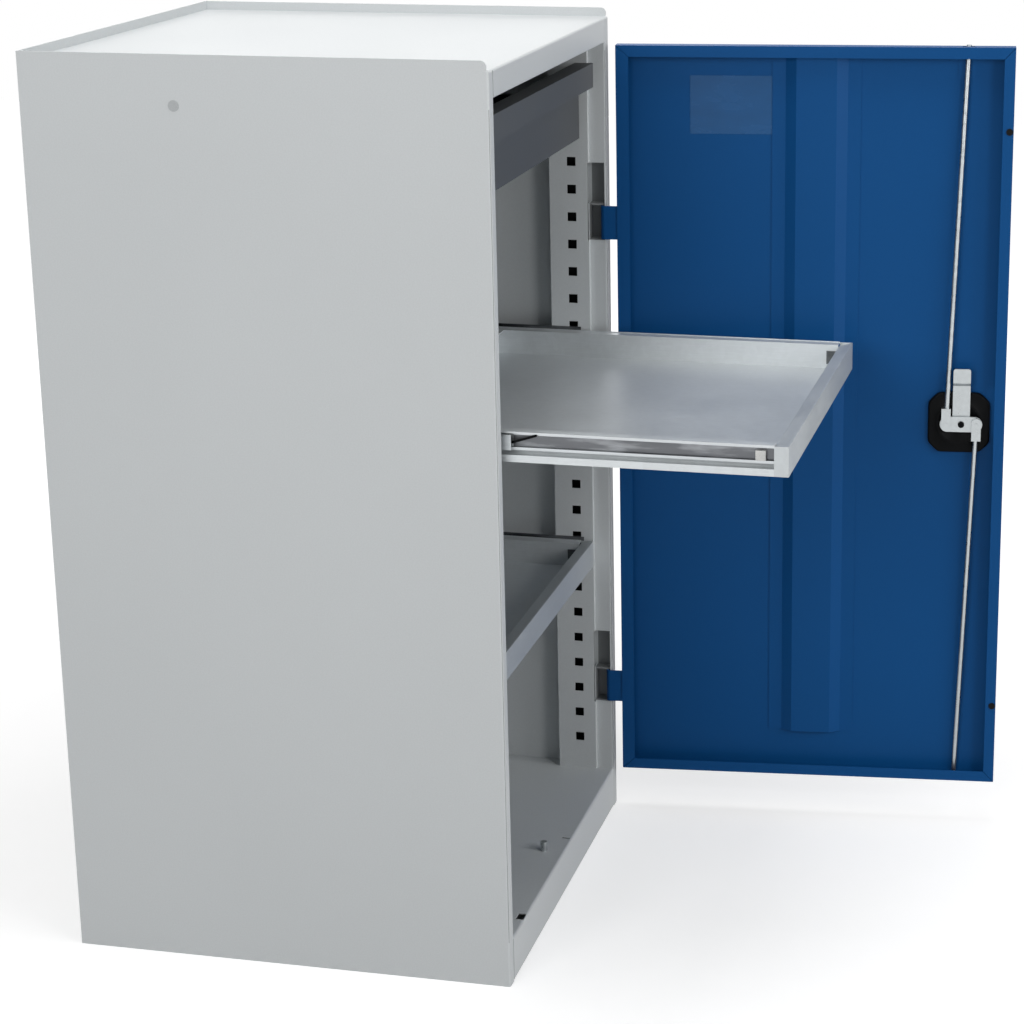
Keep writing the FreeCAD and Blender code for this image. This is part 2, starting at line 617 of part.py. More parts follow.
def upright_body():
    """Front right upright: a channel with one column of square holes."""
    far = f"{UPRIGHT_Y} + upright_width"
    body = doc.addObject("PartDesign::Body", "Upright")
    pad = body.newObject("PartDesign::Pad", "Channel")
    pad.Profile = sketch_on(body, "xy", [
        (STEP_X, UPRIGHT_Y),
        (WALL, UPRIGHT_Y),
        (WALL, f"{UPRIGHT_Y} + upright_sheet"),
        (f"{STEP_X} + upright_sheet", f"{UPRIGHT_Y} + upright_sheet"),
        (f"{STEP_X} + upright_sheet", f"{far} - upright_sheet"),
        (WALL, f"{far} - upright_sheet"),
        (WALL, far),
        (STEP_X, far),
    ])
    pad.setExpression("Length", cells(f"{OPENING_TOP} - floor_height"))
    bind(body, {"Placement.Base.z": "floor_height"})
    hole = body.newObject("PartDesign::SubtractiveBox", "Hole")
    bind(hole, {
        "Length": "upright_sheet + 2",
        "Width": "hole_size",
        "Height": "hole_size",
        "Placement.Base.x": f"{STEP_X} - 1",
        "Placement.Base.y": f"{HOLE_Y} - hole_size / 2",
        "Placement.Base.z": "hole_first - hole_size / 2 - floor_height",
    })
    doc.recompute()
    column = body.newObject("PartDesign::LinearPattern", "Column")
    column.Originals = [hole]
    axis = [item for item in body.Origin.OriginFeatures if item.Role == "Z_Axis"][0]
    column.Direction = (axis, [""])
    bind(column, {"Length": f"{HOLES_UP} * hole_pitch", "Occurrences": f"{HOLES_UP} + 1"})
    body.Tip = column
    return body


def uprights():
    front_right = upright_body()
    finish("upright_front_right", front_right)
    finish("upright_front_left", mirror(front_right, (1, 0, 0)))
    rear_right = finish("upright_rear_right", mirror(front_right, (0, 1, 0)))
    finish("upright_rear_left", mirror(rear_right, (1, 0, 0)))


def plugs():
    shank = cylinder("x", "plug_diameter / 2", PLUG, (f"{SIDE} - plug_shank", SIDE))
    head = cylinder("x", "plug_diameter / 2 + plug_rim", PLUG, (SIDE, f"{SIDE} + plug_head"))
    plug = fuse([shank, head])
    finish("side_hole_plugs", group([plug, mirror(plug, (1, 0, 0))]))


# Hinges

def ear_spans(bottom):
    low_top = f"({bottom} - fit_gap)"
    high_bottom = f"({bottom} + strap_height + fit_gap)"
    return (f"{low_top} - ear_sheet", low_top), (high_bottom, f"{high_bottom} + ear_sheet")


def hinge_bracket(bottom):
    """Bearing bracket inside the jamb: two ears on a web."""
    low, high = ear_spans(bottom)
    x = (f"{REBATE_X} + carcass_sheet", WALL)
    y = (f"{FRONT} + carcass_sheet", REBATE_Y)
    bracket = fuse([
        box(x, y, low),
        box(x, y, high),
        box(x, (REBATE_Y, f"{REBATE_Y} + ear_sheet"), (low[0], high[1])),
    ])
    bore = cylinder("z", "pin_diameter / 2", (PIN_X, PIN_Y), (f"{low[0]} - 1", f"{high[1]} + 1"))
    front = number(FRONT) + number("carcass_sheet")
    inner = (number(WALL), number(REBATE_X) + number("carcass_sheet"))

    def in_fold(middle, direction):
        near = abs(middle.y - front) < 0.01 and is_upright_edge(direction)
        return near and min(abs(middle.x - corner) for corner in inner) < 0.01

    return cut(rounded(bracket, "edge_radius - carcass_sheet", in_fold), [bore])


def hinge_pin(bottom):
    low, high = ear_spans(bottom)
    return cylinder("z", "pin_diameter / 2", (PIN_X, PIN_Y), (f"{low[0]} - pin_end", f"{high[1]} + pin_end"))


def ring_quarter(inner, outer, centre, span):
    """A quarter of a ring, from the +X to the +Y direction."""
    low, high = span
    shell = []
    for radius in (outer, inner):
        part = cylinder("z", radius, centre, span)
        part.setExpression("Angle", "90")
        shell.append(part)
    return cut(shell[0], [shell[1]])


def hinge_strap(bottom):
    """Strap with a rolled eye on the pin; it bends round the jamb and is welded under the door rim."""
    span = (bottom, f"{bottom} + strap_height")
    eye = "(pin_diameter / 2 + pin_play + eye_wall)"
    outer_x = f"({PIN_X} + {eye})"
    back = f"({DOOR_BACK} - door_sheet)"
    bend_x = f"({outer_x} - strap_sheet / 2 - strap_bend)"
    bend_y = f"({back} - strap_sheet / 2 - strap_bend)"
    strap = fuse([
        cylinder("z", eye, (PIN_X, PIN_Y), span),
        box((f"{outer_x} - strap_sheet", outer_x), (PIN_Y, bend_y), span),
        ring_quarter("strap_bend - strap_sheet / 2", "strap_bend + strap_sheet / 2", (bend_x, bend_y), span),
        box((f"{DOOR_HINGE} - strap_foot", bend_x), (f"{back} - strap_sheet", back), span),
    ])
    bore = cylinder("z", "pin_diameter / 2 + pin_play", (PIN_X, PIN_Y), (f"{bottom} - 1", f"{span[1]} + 1"))
    return cut(strap, [bore])


def hinges():
    finish("hinge_brackets", group([hinge_bracket(UPPER_STRAP), hinge_bracket(LOWER_STRAP)]))
    finish("hinge_pins", group([hinge_pin(UPPER_STRAP), hinge_pin(LOWER_STRAP)]))
    straps = group([hinge_strap(UPPER_STRAP), hinge_strap(LOWER_STRAP)])
    finish("hinge_straps", straps, ON_DOOR)


# Door, drawn closed and then turned open about the hinge pin

def mitre(corner_x, corner_z, rim_x, rim_z):
    """Thin gap across a rim corner, from the outer corner to the inner one."""
    inner_x = f"{corner_x} + ({rim_x})"
    inner_z = f"{corner_z} + ({rim_z})"
    return prism("xz", [
        (f"{corner_x} - mitre_gap / 2", corner_z),
        (f"{corner_x} + mitre_gap / 2", corner_z),
        (f"{inner_x} + mitre_gap / 2", inner_z),
        (f"{inner_x} - mitre_gap / 2", inner_z),
    ], (f"{DOOR_BACK} - door_sheet", f"{DOOR_BACK} + 1"))


def spindle_box(span):
    return box((f"{LOCK_X} - spindle_side / 2", f"{LOCK_X} + spindle_side / 2"), span,
               ("lock_height - spindle_side / 2", "lock_height + spindle_side / 2"))


def lock_screws():
    """Two screws that clamp the rosette and the housing to the door sheet."""
    return [
        cylinder("y", "housing_screw / 2", (f"{LOCK_X} {side} screw_place", "lock_height"),
                 (f"{ROSETTE_Y} + screw_seat", f"{HOUSING_Y} - door_sheet"))
        for side in "+-"
    ]


def door_panel():
    x = (DOOR_FREE, DOOR_HINGE)
    y = (FRONT, DOOR_BACK)
    z = (DOOR_BOTTOM, DOOR_TOP)
    rim = (f"{DOOR_BACK} - door_sheet", DOOR_BACK)
    pan = fuse([
        box(x, (FRONT, DOOR_INNER), z),
        box((DOOR_FREE, f"{DOOR_FREE} + door_sheet"), y, z),
        box((f"{DOOR_HINGE} - door_sheet", DOOR_HINGE), y, z),
        box(x, y, (DOOR_BOTTOM, f"{DOOR_BOTTOM} + door_sheet")),
        box(x, y, (f"{DOOR_TOP} - door_sheet", DOOR_TOP)),
        box((DOOR_FREE, f"{DOOR_FREE} + rim_free"), rim, z),
        box((f"{DOOR_HINGE} - rim_hinge", DOOR_HINGE), rim, z),
        box(x, rim, (DOOR_BOTTOM, f"{DOOR_BOTTOM} + rim_bottom")),
        box(x, rim, (f"{DOOR_TOP} - rim_top", DOOR_TOP)),
    ])
    front = number(FRONT)

    folded = rounded(pan, "door_edge", lambda middle, direction: abs(middle.y - front) < 0.01)
    side_slots = [
        box((f"{DOOR_HINGE} - door_sheet - 1", f"{DOOR_HINGE} + 1"),
            (f"{DOOR_BACK} - door_sheet - strap_sheet", f"{DOOR_BACK} - door_sheet"),
            (bottom, f"{bottom} + strap_height"))
        for bottom in (UPPER_STRAP, LOWER_STRAP)
    ]
    rod_slots = [
        rod_slot("+", (f"{DOOR_TOP} - door_sheet - 1", f"{DOOR_TOP} + 1")),
        rod_slot("-", (f"{DOOR_BOTTOM} - 1", f"{DOOR_BOTTOM} + door_sheet + 1")),
    ]
    spindle_hole = cylinder("y", "door_bore / 2", (LOCK_X, "lock_height"),
                            (f"{FRONT} - 1", f"{DOOR_INNER} + 1"))
    mitres = [
        mitre(DOOR_FREE, DOOR_TOP, "rim_free", "-rim_top"),
        mitre(DOOR_FREE, DOOR_BOTTOM, "rim_free", "rim_bottom"),
        mitre(DOOR_HINGE, DOOR_TOP, "-rim_hinge", "-rim_top"),
        mitre(DOOR_HINGE, DOOR_BOTTOM, "-rim_hinge", "rim_bottom"),
    ]
    keeper = keeper_slot(DOOR_FREE, "lock_place", "door_sheet")
    holes = [spindle_hole, keeper, *lock_screws()]
    finish("door_panel", cut(folded, side_slots + rod_slots + holes + mitres), ON_DOOR)


def door_stiffener():
    """Hat profile welded to the inside of the front sheet."""
    start = f"({DOOR_HINGE} - hat_start)"
    base = DOOR_INNER
    crest = f"({DOOR_INNER} + hat_height)"
    steps = ["0", "hat_flange", "hat_flange + hat_slope", "hat_flange + hat_slope + hat_face",
             "hat_flange + 2 * hat_slope + hat_face", "2 * hat_flange + 2 * hat_slope + hat_face"]
    outer_y = [f"{base} + door_sheet", f"{base} + door_sheet", crest, crest, f"{base} + door_sheet",
               f"{base} + door_sheet"]
    outer = [(f"{start} - ({step})", y) for step, y in zip(steps, outer_y)]
    inner = [
        (f"{start} - ({steps[5]})", base),
        (f"{start} - ({steps[4]}) + door_sheet", base),
        (f"{start} - ({steps[3]}) + door_sheet / 2", f"{crest} - door_sheet"),
        (f"{start} - ({steps[2]}) - door_sheet / 2", f"{crest} - door_sheet"),
        (f"{start} - ({steps[1]}) - door_sheet", base),
        (f"{start} - ({steps[0]})", base),
    ]
    hat = prism("xy", outer + inner, ("hat_bottom", f"{DOOR_TOP} - door_sheet - hat_top_gap"))
    finish("door_stiffener", group([hat]), ON_DOOR)


def door_trim():
    label = box((f"{DOOR_HINGE} - label_start - label_width", f"{DOOR_HINGE} - label_start"),
                (DOOR_INNER, f"{DOOR_INNER} + label_film"),
                (f"{DOOR_TOP} - label_drop - label_height", f"{DOOR_TOP} - label_drop"))
    finish("door_label", label, ON_DOOR)
    buffers = [
        cylinder("y", "buffer_diameter / 2", (f"{DOOR_FREE} + buffer_edge", height),
                 (DOOR_BACK, f"{DOOR_BACK} + buffer_height"))
        for height in (f"{DOOR_TOP} - buffer_drop", f"{DOOR_BOTTOM} + buffer_rise")
    ]
    finish("door_buffers", group(buffers), ON_DOOR)
    guide_z = (f"{DOOR_TOP} - guide_drop - guide_height", f"{DOOR_TOP} - guide_drop")
    drop = "(guide_drop + guide_height / 2)"
    guide_x = f"({LOCK_X} + rod_tip + (cam_pin_radius - rod_tip) * {drop} / {ROD_RISE})"
    guide = box((f"{guide_x} - guide_width / 2", f"{guide_x} + guide_width / 2"),
                (DOOR_INNER, f"{DOOR_INNER} + guide_sheet"), guide_z)
    finish("rod_guide", guide, ON_DOOR)


# Lock, drawn in the closed door

def lock_housing():
    centre = f"({LOCK_X} + housing_offset)"
    half = "housing_width / 2"
    inner = f"({half} - housing_corner)"
    corners = [(half, inner), (inner, half), (f"-({inner})", half), (f"-({half})", inner),
               (f"-({half})", f"-({inner})"), (f"-({inner})", f"-({half})"), (inner, f"-({half})"),
               (half, f"-({inner})")]
    outline = [(f"{centre} + {across}", f"lock_height + {up}") for across, up in corners]
    block = prism("xz", outline, (DOOR_INNER, HOUSING_Y))
    bore = cylinder("y", "housing_bore / 2", (LOCK_X, "lock_height"),
                    (f"{DOOR_INNER} - 1", f"{HOUSING_Y} + 1"))
    finish("lock_housing", cut(block, [bore, *lock_screws()]), ON_DOOR)
    finish("lock_screws", group(lock_screws()), ON_DOOR)


def handle():
    disc = cylinder("y", "rosette_diameter / 2", (LOCK_X, "lock_height"), (ROSETTE_Y, FRONT))
    bore = cylinder("y", "housing_bore / 2", (LOCK_X, "lock_height"), (f"{ROSETTE_Y} - 1", f"{FRONT} + 1"))
    finish("handle_rosette", cut(disc, [bore, *lock_screws()]), ON_DOOR)
    grip_y = (HUB_FACE, f"{HUB_FACE} + grip_height")
    reach = "(grip_length / 2 - grip_width / 2)"
    hub = fuse([
        cylinder("y", "hub_diameter / 2", (LOCK_X, "lock_height"), (HUB_FACE, HUB_Y)),
        box((f"{LOCK_X} - {reach}", f"{LOCK_X} + {reach}"), grip_y,
            ("lock_height - grip_width / 2", "lock_height + grip_width / 2")),
        *[cylinder("y", "grip_width / 2", (f"{LOCK_X} {side} {reach}", "lock_height"), grip_y)
          for side in "+-"],
    ])
    spindle_span = (f"{HUB_Y} - spindle_side / 2", CAM_FACE)
    key_span = (f"{HUB_FACE} - key_proud", f"{HUB_FACE} + key_depth")
    key_bore = cylinder("y", "key_diameter / 2 + pin_play", (LOCK_X, "lock_height"),
                        (f"{HUB_FACE} - 1", f"{key_span[1]} + pin_play"))
    finish("lock_handle", cut(hub, [key_bore, spindle_box(spindle_span)]), ON_DOOR)
    finish("lock_spindle", spindle_box(spindle_span), ON_DOOR)
    plug = cylinder("y", "key_diameter / 2", (LOCK_X, "lock_height"), key_span)
    slot = box((f"{LOCK_X} - key_slot_width / 2", f"{LOCK_X} + key_slot_width / 2"),
               (f"{key_span[0]} - 1", f"{key_span[0]} + key_slot_depth"),
               ("lock_height - key_slot_length / 2", "lock_height + key_slot_length / 2"))
    finish("key_cylinder", cut(plug, [slot]), ON_DOOR)


def tongue_and_cam():
    low = f"({TONGUE_Y})"
    high = f"({TONGUE_Y} + bar_sheet)"
    bend = "(lock_height + tongue_bend)"
    tip = "(lock_height + tongue_reach)"
    blade = prism("yz", [
        (low, "lock_height"),
        (high, "lock_height"),
        (high, bend),
        (f"{high} + tongue_step", f"{bend} + tongue_step"),
        (f"{high} + tongue_step", tip),
        (f"{low} + tongue_step", tip),
        (f"{low} + tongue_step", f"{bend} + tongue_step + tongue_setback"),
        (low, f"{bend} + tongue_setback"),
    ], (f"{LOCK_X} - tongue_width / 2", f"{LOCK_X} + tongue_width / 2"))
    tip_z = number(tip)

    def tip_corner(middle, direction):
        return abs(middle.z - tip_z) < 0.01 and abs(direction.y) > 0.99

    foot = cylinder("y", "tongue_width / 2", (LOCK_X, "lock_height"), (low, high))
    bar = fuse([rounded(blade, "tongue_corner", tip_corner), foot])
    finish("lock_tongue", cut(bar, [spindle_box((f"{low} - 1", f"{high} + 1"))]), ON_DOOR)
    reach = "(cam_pin_radius - cam_end)"
    bar = fuse([
        box((f"{LOCK_X} - {reach}", f"{LOCK_X} + {reach}"), (CAM_Y, CAM_FACE),
            ("lock_height - cam_width / 2", "lock_height + cam_width / 2")),
        *[cylinder("y", "cam_width / 2", (f"{LOCK_X} {side} {reach}", "lock_height"), (CAM_Y, CAM_FACE))
          for side in "+-"],
        *[cylinder("y", "cam_pin / 2", (f"{LOCK_X} {side} cam_pin_radius", "lock_height"),
                   (CAM_Y, f"{HOLDER_Y} + holder_sheet + fit_gap")) for side in "+-"],
    ])
    finish("lock_cam", cut(bar, [spindle_box((f"{CAM_Y} - 1", f"{CAM_FACE} + 1"))]), ON_DOOR)
    head = cylinder("y", "screw_head / 2", (LOCK_X, "lock_height"),
                    (CAM_FACE, f"{CAM_FACE} + screw_head_height"))
    socket = cylinder("y", "screw_socket / 2", (LOCK_X, "lock_height"),
                      (f"{CAM_FACE} + screw_head_height / 2", f"{CAM_FACE} + screw_head_height + 1"))
    finish("cam_screw", cut(head, [socket]), ON_DOOR)


def lock_rods():
    """Rods and their holders; the lower pair hangs half a turn round the lock axis."""
    rod_y = f"({HOUSING_Y} + rod_offset)"
    ends = {"upper": (ROD_RISE, "rod_proud"), "lower": (ROD_DROP, "-rod_retract")}
    for turn, (name, (length, beyond)) in enumerate(ends.items()):
        around = f"placement(vector({LOCK_X}; 0; lock_height); rotation(vector(0; 1; 0); {180 * turn}))"
        lean = f"atan((cam_pin_radius - rod_tip) / {length})"
        slant = f"atan((housing_thickness + rod_offset - rod_depth) / {length})"
        rod = doc.addObject("Part::Cylinder", "Rod")
        bind(rod, {
            "Radius": "rod_diameter / 2",
            "Height": f"({length} + ({beyond})) / cos({lean}) - rod_start",
            "Placement": f"{around} * placement(vector(cam_pin_radius; {rod_y}; 0); "
                         f"rotation(vector(0; 1; 0); -{lean})) * placement(vector(0; 0; 0); "
                         f"rotation(vector(1; 0; 0); {slant})) * placement(vector(0; 0; rod_start); "
                         "rotation(vector(0; 0; 1); 0))",
        })
        half = "holder_width / 2"
        across = (f"cam_pin_radius - {half}", f"cam_pin_radius + {half}")
        block_low = "rod_start - socket_end"
        plate = (HOLDER_Y, f"{HOLDER_Y} + holder_sheet")
        end = f"{half} - holder_foot"
        holder = fuse([
            box(across, plate, (end, block_low)),
            cylinder("y", half, ("cam_pin_radius", end), plate),
            box(across, (f"{HOUSING_Y} + fit_gap", plate[1]), (block_low, "rod_start + socket_depth")),
        ])
        bore = cylinder("y", "cam_pin / 2 + pin_play", ("cam_pin_radius", "0"),
                        (f"{HOLDER_Y} - 1", f"{HOLDER_Y} + holder_sheet + 1"))
        placed = cut(holder, [bore])
        bind(placed, {"Placement": around})
        finish(f"{name}_rod_holder", cut(placed, [rod]), ON_DOOR)
        finish(f"{name}_rod", group([rod]), ON_DOOR)


# Slides: the same three rails a side for the drawer and both shelves

def rail_middle(hole):
    """Height of a slide that hangs in this hole and the next one."""
    return f"(hole_first + ({hole} + 0.5) * hole_pitch)"


def both_sides(solid):
    return group([solid, mirror(solid, (1, 0, 0))])


def hook_plate(middle, centre_y):
    """Plate behind a cabinet rail with two hooks in the upright's holes."""
    spread = "(hole_pitch / 2)"
    parts = [box((f"{STEP_X} - hook_plate", STEP_X),
                 (f"{centre_y} - hook_plate_width / 2", f"{centre_y} + hook_plate_width / 2"),
                 (f"{middle} - {spread} - hook_plate_margin", f"{middle} + carrier_above"))]
    hook_y = (f"{centre_y} - hole_size / 2 + fit_gap", f"{centre_y} + hole_size / 2 - fit_gap")
    inside = f"{STEP_X} + upright_sheet"
    for side in "+-":
        seat = f"({middle} {side} {spread} - hole_size / 2)"
        parts.append(box((f"{STEP_X} - hook_plate", f"{inside} + hook_reach"), hook_y,
                         (seat, f"{seat} + hook_height")))
        parts.append(box((f"{inside} + pin_play", f"{inside} + hook_reach"), hook_y,
                         (f"{seat} - hook_lip", f"{seat} + hook_height")))
    return parts


def channel(web, depth, y, middle):
    """C-shaped rail with lips at its open edges; depth runs from the web's first face to them."""
    back, edge = web, f"({web} + ({depth}))"
    sheet = "rail_sheet" if number(depth) > 0 else "-rail_sheet"
    half = "rail_height / 2"
    parts = [box(ordered(back, f"({back} + ({sheet}))"), y, (f"{middle} - {half}", f"{middle} + {half}"))]
    for side in "+-":
        outer = f"({middle} {side} {half})"
        inner = f"({middle} {side} ({half} - rail_sheet))"
        lip = f"({middle} {side} ({half} - rail_lip))"
        parts.append(box(ordered(back, edge), y, ordered(outer, inner)))
        parts.append(box(ordered(edge, f"({edge} - ({sheet}))"), y, ordered(outer, lip)))
    return parts


def slides(name, hole, out):
    middle = rail_middle(hole)
    face = f"({STEP_X} - hook_plate)"
    cabinet = fuse([
        *channel(face, "-cabinet_rail_depth", (RAIL_FRONT, RAIL_BACK), middle),
        box((face, STEP_X), (f"{HOLE_Y} - carrier_front", RAIL_BACK),
            (f"{middle} - carrier_below", f"{middle} + carrier_above")),
        *hook_plate(middle, HOLE_Y),
        *hook_plate(middle, f"(-{HOLE_Y})"),
    ])
    finish(f"{name}_cabinet_rails", both_sides(cabinet))

    inner = f"({WEB_X} + rail_sheet + fit_gap)"
    outer = f"({face} - rail_sheet - fit_gap)"
    middle_front = f"({RAIL_FRONT} + middle_rail_start)"
    middle_y = (middle_front, f"{RAIL_BACK} - middle_rail_end")
    half = "(rail_height / 2 - rail_sheet - fit_gap)"
    leg_z = (f"{middle} - {half}", f"{middle} + {half}")
    bar_low = f"({middle} - middle_rail_drop)"
    bar_top = f"({bar_low} + rail_sheet)"
    beam = fuse([
        box((inner, f"{inner} + rail_sheet"), middle_y, leg_z),
        box((f"{outer} - rail_sheet", outer), middle_y, leg_z),
        box((inner, outer), middle_y, (bar_low, bar_top)),
    ])
    finish(f"{name}_middle_rails", both_sides(beam), pulled(f"({out}) / 2"))

    lever_x = f"(({WEB_X} + tray_rail_depth + {face} - cabinet_rail_depth) / 2)"
    lever_front = f"({middle_front} + lever_back - lever_length)"
    lever_end = f"({middle_front} + lever_back)"
    lever = prism("yz", [
        (lever_front, f"{bar_top} + lever_rise"),
        (middle_front, bar_top),
        (lever_end, bar_top),
        (lever_end, f"{bar_top} + lever_height"),
        (middle_front, f"{bar_top} + lever_height"),
        (lever_front, f"{bar_top} + lever_rise + lever_height"),
    ], (f"{lever_x} - lever_thickness / 2", f"{lever_x} + lever_thickness / 2"))
    finish(f"{name}_release_levers", both_sides(lever), pulled(f"({out}) / 2"))

    tray = fuse(channel(WEB_X, "tray_rail_depth", (RAIL_FRONT, TRAY_BACK), middle))
    finish(f"{name}_tray_rails", both_sides(tray), pulled(out))
    stop_y = f"({RAIL_FRONT} + stop_place)"
    stop_low = f"({middle} - rail_height / 2 + rail_lip)"
    stop = box((f"{WEB_X} + rail_sheet", f"{WEB_X} + rail_sheet + stop_depth"),
               (stop_y, f"{stop_y} + stop_size"), (stop_low, f"{stop_low} + stop_size"))
    finish(f"{name}_rail_stops", both_sides(stop), pulled(out))


# Pull-out shelves

def shelf(name, hole, out):
    middle = rail_middle(hole)
    top = f"({middle} + rail_height / 2 + rail_gap + tray_sheet)"
    bottom = f"({top} - tray_height)"
    inner_web = f"({WEB_X} - tray_sheet)"
    y = (f"{SHELF_FRONT} + front_depth", TRAY_BACK)
    floor_z = f"({bottom} + tray_floor_lift)"
    body = fuse([
        box((f"-{WEB_X}", WEB_X), y, (floor_z, f"{floor_z} + tray_sheet")),
        *mirrored_boxes((inner_web, WEB_X), y, (bottom, top)),
        *mirrored_boxes((inner_web, TRAY_X), y, (bottom, f"{bottom} + tray_sheet")),
        *mirrored_boxes((f"{TRAY_X} - tray_sheet", TRAY_X), y, (bottom, f"{bottom} + tray_hem")),
        *mirrored_boxes((inner_web, TRAY_X), y, (f"{top} - tray_sheet", top)),
        *mirrored_boxes((f"{TRAY_X} - tray_sheet", TRAY_X), y, (f"{top} - tray_sheet", f"{top} + tray_lip")),
        box((f"-{WEB_X}", WEB_X), (f"{TRAY_BACK} - tray_sheet", TRAY_BACK), (bottom, top)),
        box((f"-{WEB_X}", WEB_X), (f"{TRAY_BACK} - tray_rear_flange", TRAY_BACK),
            (f"{top} - tray_sheet", top)),
    ])
    finish(f"{name}_tray", body, pulled(out))

    rear = f"({SHELF_FRONT} + front_depth)"
    crest = f"{SHELF_FRONT} + front_crest"
    outline = [
        (SHELF_FRONT, bottom),
        (rear, bottom),
        (rear, f"{top} - front_slope_height"),
        (crest, top),
        (SHELF_FRONT, top),
    ]
    wall = "tray_sheet"
    hollow = [
        (f"{SHELF_FRONT} + {wall}", f"{bottom} + {wall}"),
        (f"{rear} - {wall}", f"{bottom} + {wall}"),
        (f"{rear} - {wall}", f"{top} - front_slope_height - {wall}"),
        (crest, f"{top} - {wall}"),
        (f"{SHELF_FRONT} + {wall}", f"{top} - {wall}"),
    ]
    shell = prism("yz", outline, (f"-{TRAY_X}", TRAY_X))
    inside = prism("yz", hollow, (f"-{TRAY_X} + {wall}", f"{TRAY_X} - {wall}"))
    flaps = mirrored_boxes((f"{TRAY_X} - {wall}", TRAY_X), (SHELF_FRONT, rear), (bottom, top))
    finish(f"{name}_front", fuse([cut(shell, [inside]), *flaps]), pulled(out))

    clip_y = f"({SHELF_FRONT} + clip_place)"
    clip_z = f"({middle} - clip_drop)"
    clip_x = (f"{inner_web} - clip_sheet", inner_web)
    slots = [
        box((f"{clip_x[0]} - 1", f"{clip_x[0]} + clip_sheet / 2"),
            (f"{clip_y} + clip_margin", f"{clip_y} + clip_width - clip_margin"),
            (f"{clip_z} + {rise}", f"{clip_z} + {rise} + clip_slot"))
        for rise in ("clip_slot_low", "clip_slot_high")
    ]
    clip = cut(box(clip_x, (clip_y, f"{clip_y} + clip_width"), (clip_z, f"{clip_z} + clip_height")), slots)
    finish(f"{name}_corner_clips", both_sides(clip), pulled(out))


def drawer():
    middle = rail_middle(DRAWER_HOLE)
    bottom = f"({middle} - drawer_below)"
    top = f"({bottom} + drawer_front_height)"
    face = f"({DOOR_BACK} + drawer_face_gap)"
    lip = f"({face} - drawer_lip_depth)"
    lip_z = f"({top} - drawer_lip_height)"
    wall = "tray_sheet"
    outline = [
        (f"{face} + drawer_return", bottom),
        (face, bottom),
        (face, f"{lip_z} - drawer_lip_fall"),
        (lip, lip_z),
        (lip, top),
        (f"{face} + drawer_top_return", top),
        (f"{face} + drawer_top_return", f"{top} - {wall}"),
        (f"{lip} + {wall}", f"{top} - {wall}"),
        (f"{lip} + {wall}", f"{lip_z} + {wall} / 2"),
        (f"{face} + {wall}", f"{lip_z} - drawer_lip_fall + {wall} / 2"),
        (f"{face} + {wall}", f"{bottom} + {wall}"),
        (f"{face} + drawer_return", f"{bottom} + {wall}"),
    ]
    half = f"({REBATE_X} - drawer_gap)"
    finish("drawer_front", group([prism("yz", outline, (f"-{half}", half))]))
    floor_z = f"({bottom} + {wall})"
    wall_top = f"({bottom} + drawer_wall)"
    y = (f"{face} + {wall}", TRAY_BACK)
    finish("drawer_tray", fuse([
        box((f"-{WEB_X}", WEB_X), y, (floor_z, f"{floor_z} + {wall}")),
        *mirrored_boxes((f"{WEB_X} - {wall}", WEB_X), y, (floor_z, wall_top)),
        *mirrored_boxes((f"{WEB_X} - drawer_hem", WEB_X), y, (f"{wall_top} - {wall}", wall_top)),
        box((f"-{WEB_X}", WEB_X), (y[0], f"{y[0]} + {wall}"), (floor_z, wall_top)),
        box((f"-{WEB_X}", WEB_X), (f"{TRAY_BACK} - {wall}", TRAY_BACK), (floor_z, wall_top)),
    ]))


sides()
backs()
top()
floor()
uprights()
plugs()
hinges()
door_panel()
door_stiffener()
door_trim()
lock_housing()
handle()
tongue_and_cam()
lock_rods()
drawer()
slides("drawer", DRAWER_HOLE, "0")
shelf("upper_shelf", "upper_hole_count", "upper_shelf_out")
slides("upper_shelf", "upper_hole_count", "upper_shelf_out")
shelf("lower_shelf", "lower_hole_count", "0")
slides("lower_shelf", "lower_hole_count", "0")

doc.recompute()
for item in doc.Objects:
    if "Invalid" in item.State or "Error" in item.State:
        raise RuntimeError(f"{item.Label} failed: {item.State}")
for piece in pieces:
    if piece.Shape.isNull() or not piece.Shape.isValid():
        raise RuntimeError(f"{piece.Label} has no valid shape")
os.makedirs("parts", exist_ok=True)
for piece in pieces:
    piece.Shape.exportStep(f"parts/{piece.Label}.step")
    print(piece.Label, len(piece.Shape.Solids), round(piece.Shape.Volume / 1000, 2))
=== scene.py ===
"""Tool cabinet: materials, the lock plate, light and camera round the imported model."""
import json
import math

import bmesh
import bpy
from mathutils import Matrix, Vector


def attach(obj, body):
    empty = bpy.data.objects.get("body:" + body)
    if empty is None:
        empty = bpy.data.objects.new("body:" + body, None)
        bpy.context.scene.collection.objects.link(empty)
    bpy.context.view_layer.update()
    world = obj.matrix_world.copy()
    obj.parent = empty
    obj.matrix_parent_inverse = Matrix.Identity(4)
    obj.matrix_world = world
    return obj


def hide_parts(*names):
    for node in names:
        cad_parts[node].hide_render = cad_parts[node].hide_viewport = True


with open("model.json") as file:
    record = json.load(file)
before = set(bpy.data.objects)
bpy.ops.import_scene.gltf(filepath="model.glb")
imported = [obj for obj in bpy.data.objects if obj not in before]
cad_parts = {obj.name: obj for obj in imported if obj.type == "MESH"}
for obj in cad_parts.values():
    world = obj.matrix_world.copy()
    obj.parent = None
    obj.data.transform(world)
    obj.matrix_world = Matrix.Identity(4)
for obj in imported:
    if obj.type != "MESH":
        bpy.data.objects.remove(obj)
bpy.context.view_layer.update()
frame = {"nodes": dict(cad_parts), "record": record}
nodes = frame["nodes"]


# Shader building blocks

def new_material(name):
    material = bpy.data.materials.new(name)
    material.use_nodes = True
    tree = material.node_tree
    tree.nodes.clear()
    return material, tree


